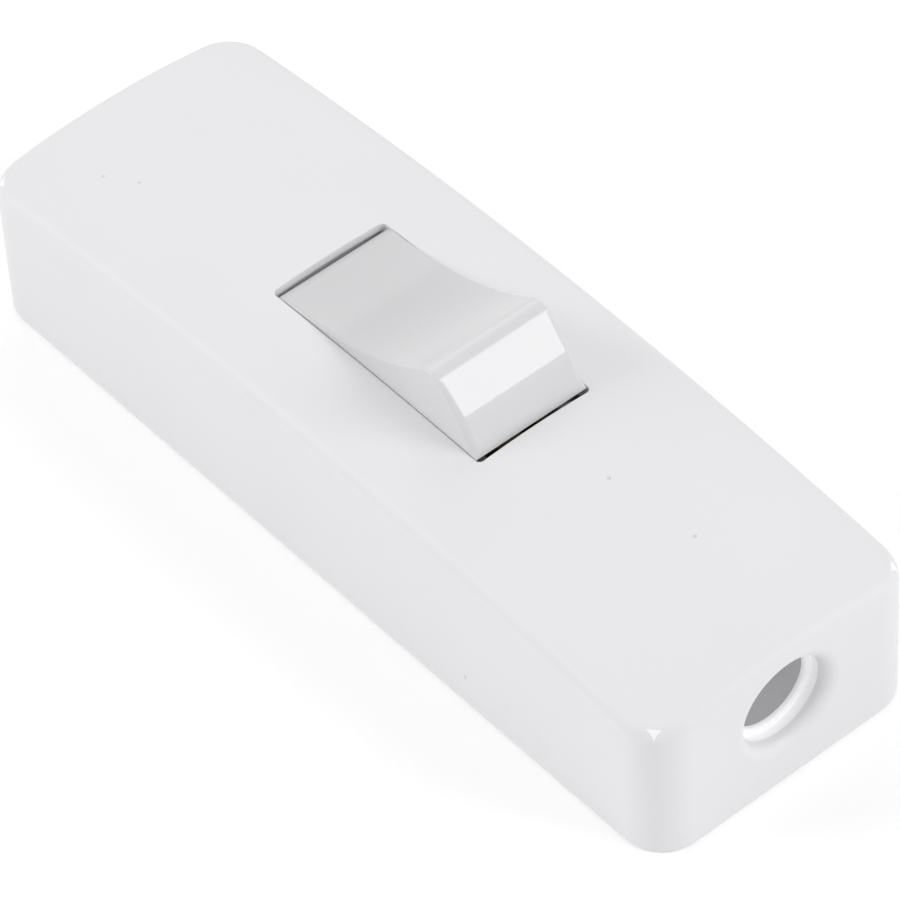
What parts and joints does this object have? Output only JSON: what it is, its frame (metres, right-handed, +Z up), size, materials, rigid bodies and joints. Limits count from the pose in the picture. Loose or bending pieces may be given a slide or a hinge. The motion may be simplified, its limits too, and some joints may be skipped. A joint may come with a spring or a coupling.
{
  "type": "inline cord switch",
  "caption": "White inline cord switch: crowned oblong housing with a round cord entry in each end and a scooped rocker in a window on top.",
  "frame": {"origin": "middle of the flat foot, in the foot's plane", "axes": "+X along the cord to the end that shows in the picture, +Y across the body, +Z up through the rocker"},
  "size_m": [0.08, 0.026, 0.0218],
  "materials": {
    "cover_plastic": "white moulded plastic with a fine satin texture",
    "base_plastic": "white moulded plastic",
    "rocker_plastic": "white moulded plastic, a little glossier than the housing",
    "inner_plastic": "off-white moulded nylon",
    "brass_strip": "stamped and folded brass strip",
    "contact_metal": "silver-faced contact rivet",
    "spring_steel": "drawn spring wire",
    "screw_steel": "zinc-plated steel"
  },
  "bodies": {
    "housing": {"cover": "cover_plastic", "base": "base_plastic", "fixed_contact_left": "contact_metal", "fixed_contact_right": "contact_metal", "common_terminal_left": "brass_strip", "common_terminal_right": "brass_strip", "switched_terminal_left": "brass_strip", "switched_terminal_right": "brass_strip", "near_cord_clamp": "inner_plastic", "far_cord_clamp": "inner_plastic", "housing_screws": "screw_steel", "clamp_screws": "screw_steel", "terminal_screws": "screw_steel"},
    "rocker": {"rocker": "rocker_plastic", "plunger_spring_left": "spring_steel", "plunger_spring_right": "spring_steel"},
    "plunger_left": {"plunger_left": "inner_plastic"},
    "plunger_right": {"plunger_right": "inner_plastic"},
    "seesaw_left": {"seesaw_left": "brass_strip", "moving_contact_left": "contact_metal"},
    "seesaw_right": {"seesaw_right": "brass_strip", "moving_contact_right": "contact_metal"}
  },
  "joints": [
    {"name": "rocker_tilt", "type": "hinge", "parent": "housing", "child": "rocker", "pos_m": [0, 0, 0.0116], "axis": [0, 1, 0], "range_deg": [0, 35]},
    {"name": "seesaw_tip_left", "type": "hinge", "parent": "housing", "child": "seesaw_left", "pos_m": [0, -0.00265, 0.0065], "axis": [0, 1, 0], "range_deg": [-21, 0]},
    {"name": "seesaw_tip_right", "type": "hinge", "parent": "housing", "child": "seesaw_right", "pos_m": [0, 0.00265, 0.0065], "axis": [0, 1, 0], "range_deg": [-21, 0]},
    {"name": "plunger_slide_left", "type": "slide", "parent": "rocker", "child": "plunger_left", "axis": [0.3007, 0, -0.9537], "range_m": [-0.0009, 0], "stiffness_N_per_m": 750, "springref_m": 0.002, "deforming": ["plunger_spring_left"]},
    {"name": "plunger_slide_right", "type": "slide", "parent": "rocker", "child": "plunger_right", "axis": [0.3007, 0, -0.9537], "range_m": [-0.0009, 0], "stiffness_N_per_m": 750, "springref_m": 0.002, "deforming": ["plunger_spring_right"]}
  ],
  "couplings": [
    {"joint": "seesaw_tip_left", "follows": "rocker_tilt", "ratio": -0.6},
    {"joint": "seesaw_tip_right", "follows": "rocker_tilt", "ratio": -0.6}
  ]
}
